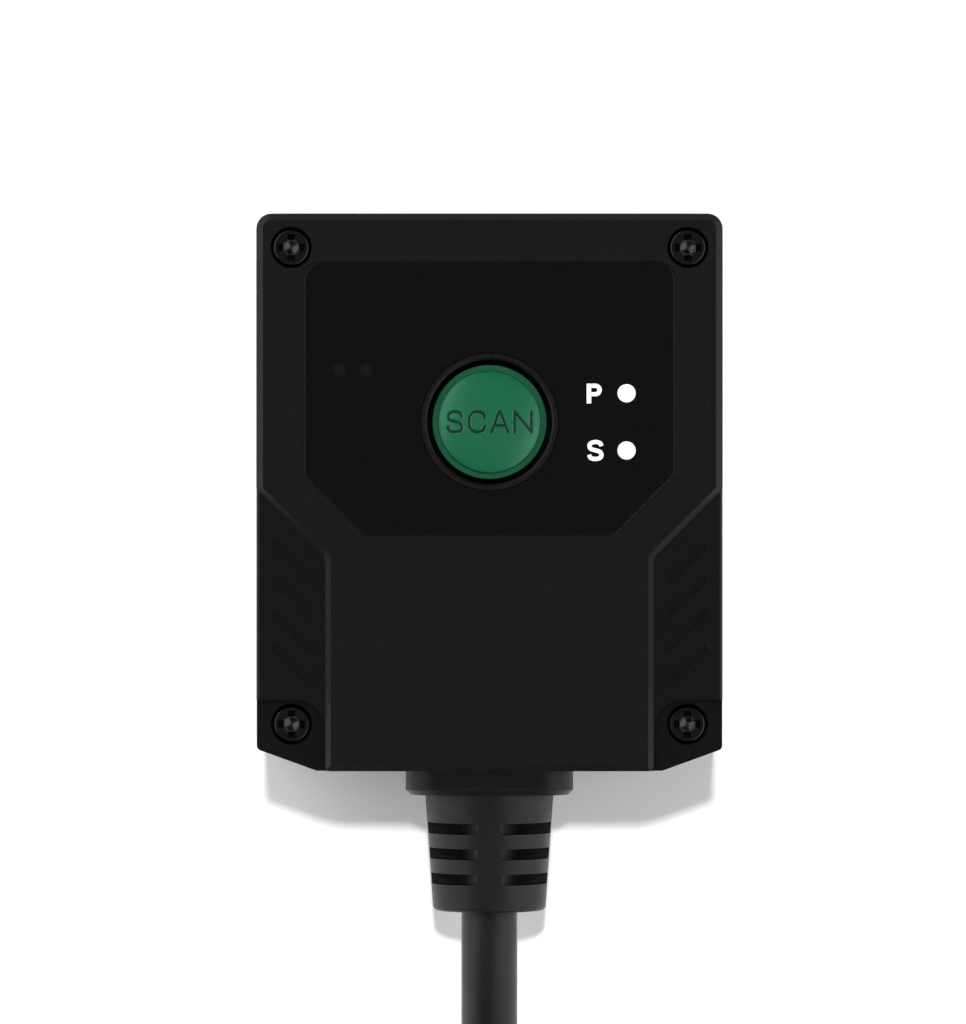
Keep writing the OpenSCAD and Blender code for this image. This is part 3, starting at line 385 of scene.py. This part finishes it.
FINISHES = {
    "housing_plastic": (moulded, dict(
        color=(0.0028, 0.0028, 0.0029), rough=0.36, grain_mm=0.18, height_mm=0.03, change=0.9, specular=0.225,
        # Painted shade: darker colour on the cheeks and grip slots, and darker still on the screw pockets'
        # floor
        painted_shade_bands=[((22.2, 23.2), (0.0004, 0.0004, 0.0005)), ((23.2, 23.85), (0.0013, 0.0013, 0.0014))],
    )),
    "label_film": (moulded, dict(
        color=(0.0021, 0.0021, 0.0022), rough=0.4, grain_mm=0.18, change=0.5, specular=0.1,
    )),
    "button_plastic": (moulded, dict(
        color=(0.0006, 0.0885, 0.0356), rough=0.31, height_mm=0.008, specular=0.86, gloss=(0.55, 1, 0.8),
    )),
    "engraved_green": (moulded, dict(color=(0.004, 0.024, 0.014), rough=0.6, specular=0.25)),
    # Painted shade: darker green for the step round the button's face
    "rim_green": (moulded, dict(
        color=(0.003, 0.07, 0.029), rough=0.6, grain_mm=0.15, height_mm=0.012, change=0.1, specular=0.4,
    )),
    # Painted shade: near-black green for the button's skirt below the step
    "skirt_green": (moulded, dict(color=(0.001, 0.003, 0.002), rough=0.8, specular=0.1)),
    "legend_ink": (moulded, dict(color=(0.9, 0.9, 0.9), rough=0.45)),
    "seal_rubber": (moulded, dict(color=(0.006, 0.006, 0.006), rough=0.7, specular=0.1)),
    "component_black": (moulded, dict(color=(0.014, 0.014, 0.015), rough=0.5)),
    "bright_steel": (metal, dict(color=(0.55, 0.55, 0.56), rough=0.3, brush=(1, 6, 1))),
    "plug_steel": (metal, dict(color=(0.66, 0.66, 0.67), rough=0.24, brush=(0.15, 4, 4))),
    # The last value is painted shade in the recess arms
    "screw_steel": (blackened, dict(head=0.022, worn=0.055, painted_recess_shade=0.005)),
    "clear_guide": (glowing, dict(color=(0.92, 0.92, 0.92), strength=0.12)),
    "optic_glass": (clear, dict(color=(0.85, 0.9, 0.95))),
    "window_pane": (clear, dict(color=(0.30, 0.012, 0.02))),
    "lamp_resin": (moulded, dict(color=(0.75, 0.72, 0.55), rough=0.3)),
    "circuit_board": (tracked, dict(color=(0.012, 0.10, 0.04))),
    "connector_nylon": (moulded, dict(color=(0.7, 0.67, 0.57), rough=0.5)),
    "wire_sleeve": (moulded, dict(color=(0.30, 0.03, 0.025), rough=0.45)),
    "flex_film": (moulded, dict(color=(0.5, 0.2, 0.04), rough=0.3)),
    "insert_brass": (metal, dict(color=(0.72, 0.5, 0.2), rough=0.32)),
    "contact_gold": (metal, dict(color=(0.85, 0.62, 0.25), rough=0.2)),
    "cable_jacket": (moulded, dict(
        color=(0.006, 0.006, 0.0062), rough=0.42, height_mm=0.012, change=0.35, specular=0.31,
    )),
    "relief_rubber": (moulded, dict(
        color=(0.006, 0.006, 0.0062), rough=0.42, height_mm=0.012, change=0.35, specular=0.27,
    )),
    "tie_strap": (moulded, dict(color=(0.004, 0.004, 0.004), rough=0.6)),
    "tongue_plastic": (moulded, dict(color=(0.75, 0.75, 0.75), rough=0.45)),
}
MATERIALS = {name: make(name, **settings) for name, (make, settings) in FINISHES.items()}


# Objects and curves

def body_of(node):
    bodies = frame["record"]["behaviour"]["bodies"]
    return next(body for body, members in bodies.items() if node in members)


def slot_of(node):
    return next(row["material_slot"] for row in frame["record"]["subparts"] if row["node"] == node)


def new_object(name, data):
    """New object in the scene."""
    thing = bpy.data.objects.new(name, data)
    bpy.context.scene.collection.objects.link(thing)
    return thing


def new_piece(name, data, body, slot, finish=None, height=0.0):
    """Piece that rides on a body, with its slot's finish unless another is named."""
    piece = new_object(name, data)
    piece.location.z = height
    data.materials.append(MATERIALS[finish or slot])
    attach(piece, body)
    return piece


def new_curve(name, lines, closed, **settings):
    """Curve with a spline through each line of points, in metres."""
    data = bpy.data.curves.new(name, "CURVE")
    for key, value in settings.items():
        setattr(data, key, value)
    for line in lines:
        spline = data.splines.new("POLY")
        spline.points.add(len(line) - 1)
        for point, place in zip(spline.points, line):
            point.co = (*place, 1)
        spline.use_cyclic_u = closed
        spline.use_smooth = True
    return data


def catmull_rom(points, steps):
    """Points along a smooth curve through the given points."""
    out = []
    for i in range(len(points) - 1):
        p0 = Vector(points[max(i - 1, 0)])
        p1 = Vector(points[i])
        p2 = Vector(points[i + 1])
        p3 = Vector(points[min(i + 2, len(points) - 1)])
        for k in range(steps):
            t = k / steps
            a = 2 * p1
            b = p2 - p0
            c = 2 * p0 - 5 * p1 + 4 * p2 - p3
            d = 3 * p1 - p0 - 3 * p2 + p3
            out.append(0.5 * (a + b * t + c * t * t + d * t * t * t))
    out.append(Vector(points[-1]))
    return out


def softened(node, width_mm, segments=2, edge_deg=32, sharp_deg=55, wanted=None):
    """Copy of a CAD node with its sharp edges, or only the wanted ones, rounded, in place of the node."""
    name = node + "_soft"
    mesh = bpy.data.meshes.new(name)
    bm = bmesh.new()
    bm.from_mesh(nodes[node].data)
    bmesh.ops.remove_doubles(bm, verts=bm.verts, dist=WELD_M)
    bmesh.ops.dissolve_limit(bm, angle_limit=math.radians(FLAT_DEG), verts=bm.verts, edges=bm.edges)
    edges = [
        e for e in bm.edges
        if len(e.link_faces) == 2 and e.calc_face_angle(0) > math.radians(edge_deg)
        and (wanted is None or wanted(e))
    ]
    bmesh.ops.bevel(
        bm, geom=edges, offset=width_mm * MM, offset_type="OFFSET", segments=segments, profile=0.5,
        affect="EDGES", clamp_overlap=False, loop_slide=True,
    )
    bm.to_mesh(mesh)
    bm.free()
    for polygon in mesh.polygons:
        polygon.use_smooth = True
    mesh.set_sharp_from_angle(angle=math.radians(sharp_deg))
    piece = new_piece(name, mesh, body_of(node), slot_of(node))
    normals = piece.modifiers.new("normals", "WEIGHTED_NORMAL")
    normals.keep_sharp = True
    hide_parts(node)
    return piece


def on_screw_rim(edge):
    """Whether an edge lies on a screw head's rim and not in its recess."""
    middle = (edge.verts[0].co + edge.verts[1].co) / 2 / MM
    return min(math.hypot(middle.x - x, middle.y - y) for x, y in SCREW_PLACES) > SCREW_RIM_R


# Cable

def smooth_step(x):
    x = min(max(x, 0.0), 1.0)
    return x * x * (3 - 2 * x)


def coil_points():
    """Turns of the coil, one cable apart, stepping over at the end of each turn."""
    out = []
    last = len(COIL_COLUMNS) - 1
    degrees = COIL_START_DEG
    while degrees <= COIL_END_DEG:
        turns = (degrees - COIL_START_DEG) / 360 / COIL_TURN
        k = min(int(turns), last)
        after = min(k + 1, last)
        move = smooth_step((turns - k - 1 + COIL_STEP) / COIL_STEP)
        column = COIL_COLUMNS[k] + (COIL_COLUMNS[after] - COIL_COLUMNS[k]) * move
        layer = COIL_LAYERS[k] + (COIL_LAYERS[after] - COIL_LAYERS[k]) * move
        r = COIL_R + COIL_PITCH * column
        a = math.radians(degrees)
        x = COIL_CENTRE[0] + r * math.cos(a)
        y = COIL_CENTRE[1] + r * math.sin(a)
        out.append((x, y, CABLE_R + COIL_PITCH * layer))
        degrees += COIL_POINT_DEG
    return out


def make_cable():
    """One curve from the strain relief through the coil to the plug."""
    route = catmull_rom(LEAD_ROUTE + coil_points() + TAIL_ROUTE, ROUTE_STEPS)
    data = new_curve(
        "cable", [[p * MM for p in route]], closed=False, dimensions="3D",
        bevel_depth=CABLE_R * MM, bevel_resolution=CABLE_ROUNDNESS, use_fill_caps=True,
    )
    piece = new_piece("cable", data, "housing", "cable_jacket")
    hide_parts("cable_lead", "cable_coil", "cable_tail")
    return piece


# Button and legends

def smooth_line(points, steps=5):
    """Flat curve through the given points; two points stay a straight line."""
    if len(points) == 2:
        return [Vector(p) for p in points]
    return [p.to_2d() for p in catmull_rom([(*p, 0) for p in points], steps)]


def fitted(line, x0, x1, y0, y1):
    """A unit-square line laid into a box."""
    return [Vector((x0 + x * (x1 - x0), y0 + y * (y1 - y0))) for x, y in line]


def scan_strokes():
    """Straight pieces of the letters on the button, in millimetres from its middle."""
    half = SCAN_STROKE / 2
    y1 = SCAN_HEIGHT / 2 - half
    out = []
    for letter, (x0, x1) in SCAN_LETTERS.items():
        for line in LETTER_LINES[letter]:
            points = fitted(smooth_line(line), x0 + half, x1 - half, -y1, y1)
            out += list(zip(points[:-1], points[1:]))
    return out


def letter_cut(x, y):
    """How far the letters are cut at each place on the face, from nothing to one."""
    nearest = np.full(x.shape, np.inf)
    for a, b in scan_strokes():
        along = b - a
        t = np.clip(((x - a.x) * along.x + (y - a.y) * along.y) / along.length_squared, 0, 1)
        nearest = np.minimum(nearest, np.hypot(x - a.x - t * along.x, y - a.y - t * along.y))
    return np.clip((SCAN_STROKE / 2 + SCAN_EDGE / 2 - nearest) / SCAN_EDGE, 0, 1)


def rounded_corner(r, z, first_deg, last_deg, steps=5):
    """Points of a small fillet in the button's profile."""
    turns = [math.radians(first_deg + (last_deg - first_deg) * i / steps) for i in range(steps + 1)]
    return [(r + BUTTON_EDGE_R * math.cos(a), z + BUTTON_EDGE_R * math.sin(a)) for a in turns]


def button_profile(low, top):
    """Radius and height of each ring of the button, from the middle of its face outward and down."""
    edge = BUTTON_EDGE_R
    flange_low, flange_high = BUTTON_FLANGE_Z
    dome = [
        (BUTTON_FACE_R * i / BUTTON_RINGS, top - BUTTON_DOME * (i / BUTTON_RINGS) ** BUTTON_CURVE)
        for i in range(1, BUTTON_RINGS)
    ]
    return (
        [ring for ring in dome if ring[0] < BUTTON_FACE_R - edge]
        + rounded_corner(BUTTON_FACE_R - edge, top - BUTTON_DOME - edge, 85, 0)
        + rounded_corner(BUTTON_FACE_R + edge, BUTTON_STEP_Z + edge, 180, 270)
        + rounded_corner(BUTTON_R - edge, BUTTON_STEP_Z - edge, 90, 0)
        + [(BUTTON_R, flange_high), (BUTTON_FLANGE_R, flange_high)]
        + [(BUTTON_FLANGE_R, flange_low), (BUTTON_POST_R, flange_low), (BUTTON_POST_R, low)]
    )


def turned_faces(rings, n):
    """Faces of a turned shape with n points on each ring, closed by a point at its top and its bottom."""
    top = rings * n
    bottom = top + 1
    last = top - n
    after = [(k + 1) % n for k in range(n)]
    faces = [(top, k, after[k]) for k in range(n)]
    for i in range(0, last, n):
        faces += [(i + k, i + n + k, i + n + after[k], i + after[k]) for k in range(n)]
    return faces + [(last + k, bottom, last + after[k]) for k in range(n)]


def paint_button(mesh, cut):
    """Gives the letters their own green, and paints shade onto the step and the skirt with darker greens."""
    for name in BUTTON_GREENS:
        mesh.materials.append(MATERIALS[name])
    for polygon in mesh.polygons:
        corners = [v for v in polygon.vertices if v < len(cut)]
        # The skirt and the step get darker greens as painted shade
        if sum(cut[v] for v in corners) / len(corners) > ENGRAVED_SHARE:
            polygon.material_index = ENGRAVED
        elif polygon.center.z < SKIRT_Z * MM:
            polygon.material_index = SKIRT
        elif polygon.center.z < RIM_Z * MM:
            polygon.material_index = RIM


def make_button():
    """Button turned from its profile, with the letters cut into its face."""
    low, top = (corner.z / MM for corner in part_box("scan_button"))
    rings = np.array(button_profile(low, top))
    turn = np.linspace(0, 2 * np.pi, BUTTON_SEGMENTS, endpoint=False)
    r = rings[:, :1]
    x = r * np.cos(turn)
    y = r * np.sin(turn)
    cut = letter_cut(x, y) * (r < BUTTON_FACE_R - SCAN_MARGIN)
    z = rings[:, 1:] - SCAN_DEPTH * cut
    points = np.stack([x, y + BUTTON_Y, z], axis=2).reshape(-1, 3) * MM
    ends = [(0, BUTTON_Y * MM, top * MM), (0, BUTTON_Y * MM, low * MM)]
    mesh = bpy.data.meshes.new("button")
    mesh.from_pydata([tuple(p) for p in points] + ends, [], turned_faces(len(rings), BUTTON_SEGMENTS))
    piece = new_piece("button_cap", mesh, "button", "button_plastic")
    paint_button(mesh, cut.reshape(-1))
    for polygon in mesh.polygons:
        polygon.use_smooth = True
    mesh.set_sharp_from_angle(angle=math.radians(BUTTON_SHARP_DEG))
    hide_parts("scan_button")


def p_outlines():
    """Outer edge and hole of a bold P in a unit square."""

    def bowl(y0, y1, x0, x1):
        r = (y1 - y0) / 2
        arc = [math.radians(-90 + 180 * i / P_STEPS) for i in range(P_STEPS + 1)]
        return [(x0 + (x1 - x0) * math.cos(a), (y0 + y1) / 2 + r * math.sin(a)) for a in arc]

    hole_low = P_LOW + P_BAR
    hole_high = 1 - P_BAR
    outer = [(0, 0), (P_STEM, 0), (P_STEM, P_LOW)] + bowl(P_LOW, 1, *P_OUTER_X) + [(0, 1)]
    hole = [(P_STEM, hole_low)] + bowl(hole_low, hole_high, *P_HOLE_X) + [(P_STEM, hole_high)]
    return [outer, hole]


def ribbon(points, width):
    """Closed outline of a stroke with flat ends along a line."""
    left = []
    right = []
    for i, p in enumerate(points):
        along = points[min(i + 1, len(points) - 1)] - points[max(i - 1, 0)]
        across = Vector((-along.y, along.x)).normalized() * width / 2
        left.append(p + across)
        right.append(p - across)
    return left + right[::-1]


def print_sign(name, outlines):
    """Printed letter on the label from closed outlines in millimetres."""
    half = SIGN_THICKNESS / 2 * MM
    lines = [[(x * MM, y * MM, 0) for x, y in outline] for outline in outlines]
    data = new_curve(name, lines, closed=True, dimensions="2D", fill_mode="BOTH", extrude=half)
    label_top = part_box("label_overlay")[1].z
    new_piece(name, data, "housing", "label_film", "legend_ink", label_top + half)


def print_signs():
    """P and S beside the indicator windows."""
    print_sign("sign_p", [fitted(line, *SIGN_P) for line in p_outlines()])
    half = SIGN_STROKE / 2
    x0, x1, y0, y1 = SIGN_S
    line = fitted(smooth_line(S_LINE), x0 + half, x1 - half, y0 + half, y1 - half)
    print_sign("sign_s", [ribbon(line, SIGN_STROKE)])


# Lip of the label's pocket

def label_outline():
    """Outer edge of the label's top face, in order."""
    mesh = nodes["label_overlay"].data
    uses = {}
    for polygon in mesh.polygons:
        if polygon.normal.z > FACING_UP:
            for key in polygon.edge_keys:
                uses[key] = uses.get(key, 0) + 1
    beside = {}
    for (a, b), count in uses.items():
        if count == 1:
            beside.setdefault(a, []).append(b)
            beside.setdefault(b, []).append(a)
    first = min(beside, key=lambda v: mesh.vertices[v].co.x)
    loop = [first, beside[first][0]]
    while loop[-1] != first:
        a, b = beside[loop[-1]]
        loop.append(a if b == loop[-2] else b)
    return [mesh.vertices[v].co for v in loop[:-1]]


def make_lip():
    """Fine rounded lip of the pocket that the label lies in."""
    z = (COVER_TOP_Z - LIP_SUNK) * MM
    data = new_curve(
        "label_lip", [[(place.x, place.y, z) for place in label_outline()]], closed=True, dimensions="3D",
        bevel_depth=LIP_R * MM, bevel_resolution=LIP_ROUNDNESS,
    )
    new_piece("label_lip", data, "housing", "housing_plastic")


# Camera, light and floor

def make_camera():
    data = bpy.data.cameras.new("camera")
    data.lens = CAMERA_LENS
    data.sensor_width = CAMERA_SENSOR
    data.clip_end = CAMERA_REACH
    camera = new_object("camera", data)
    camera.location = [c * MM for c in CAMERA_PLACE_MM]
    bpy.context.scene.camera = camera


def make_key():
    """High far lamp that throws the shadow; it lights surfaces but doesn't mirror in them."""
    data = bpy.data.lights.new("key", "SUN")
    data.energy = KEY_LIGHT
    data.angle = math.radians(KEY_SPREAD_DEG)
    light = new_object("key", data)
    light.rotation_euler = (math.radians(-KEY_TILT_DEG), 0, 0)
    light.visible_glossy = False


def make_world():
    """Room with a pale horizon, a dim ceiling, two lit side panels and dark walls."""
    world = bpy.data.worlds.new("world")
    bpy.context.scene.world = world
    world.use_nodes = True
    tree = world.node_tree
    tree.nodes.clear()
    direction = add_node(tree, "ShaderNodeTexCoord").outputs["Generated"]
    up = upward(tree, direction)
    turn = math.radians(PANEL_TURN_DEG)
    across = add_node(tree, "ShaderNodeVectorMath", operation="DOT_PRODUCT")
    put(tree, across.inputs[0], direction)
    put(tree, across.inputs[1], (math.cos(turn), math.sin(turn), 0))
    sideways = calculate(tree, "ABSOLUTE", across.outputs["Value"])
    parts = [
        (sideways, PANEL_EDGE, PANEL_LIGHT),
        (up, CEILING_EDGE, CEILING_LIGHT),
        (up, HORIZON_EDGE, HORIZON_LIGHT),
    ]
    lit = [remap(tree, value, edge, (0, level), "SMOOTHSTEP") for value, edge, level in parts]
    room = add_node(tree, "ShaderNodeBackground")
    put(tree, room.inputs["Color"], WHITE)
    put(tree, room.inputs["Strength"], calculate(tree, "ADD", highest(tree, lit), DARK_LIGHT))
    out = add_node(tree, "ShaderNodeOutputWorld")
    put(tree, out.inputs["Surface"], room.outputs["Background"])


def make_floor():
    """Wide pale floor that keeps the shadow."""
    corners = [(-1, -1), (1, -1), (1, 1), (-1, 1)]
    mesh = bpy.data.meshes.new("floor")
    mesh.from_pydata([(x * FLOOR_HALF, y * FLOOR_HALF, 0) for x, y in corners], [], [(0, 1, 2, 3)])
    floor = new_object("floor", mesh)
    floor.location.z = FLOOR_Z
    shader = Shader("floor")
    path = add_node(shader.tree, "ShaderNodeLightPath").outputs
    seen = highest(shader.tree, [path["Is Camera Ray"], path["Is Glossy Ray"], path["Is Transmission Ray"]])
    glow = calculate(shader.tree, "MULTIPLY", seen, FLOOR_GLOW)
    shader.feed(Base_Color=FLOOR_COLOR, Roughness=FLOOR_ROUGH, Specular_IOR_Level=0.0)
    shader.feed(Emission_Color=WHITE, Emission_Strength=glow)
    mesh.materials.append(shader.material)


make_camera()
cable = make_cable()

for name, node in nodes.items():
    node.data.materials.clear()
    node.data.materials.append(MATERIALS[slot_of(name)])

softened("base_housing", 0.12)
grip = softened("usb_grip", 0.5, segments=4)
shell = softened("usb_shell", 0.05)
tie = softened("coil_tie", 0.15)
softened("label_overlay", 0.04)
softened("cover_screws", 0.08, segments=3, edge_deg=40, sharp_deg=20, wanted=on_screw_rim)
make_button()
make_lip()
print_signs()

make_key()
make_world()
make_floor()
bpy.context.scene.view_settings.view_transform = "Standard"
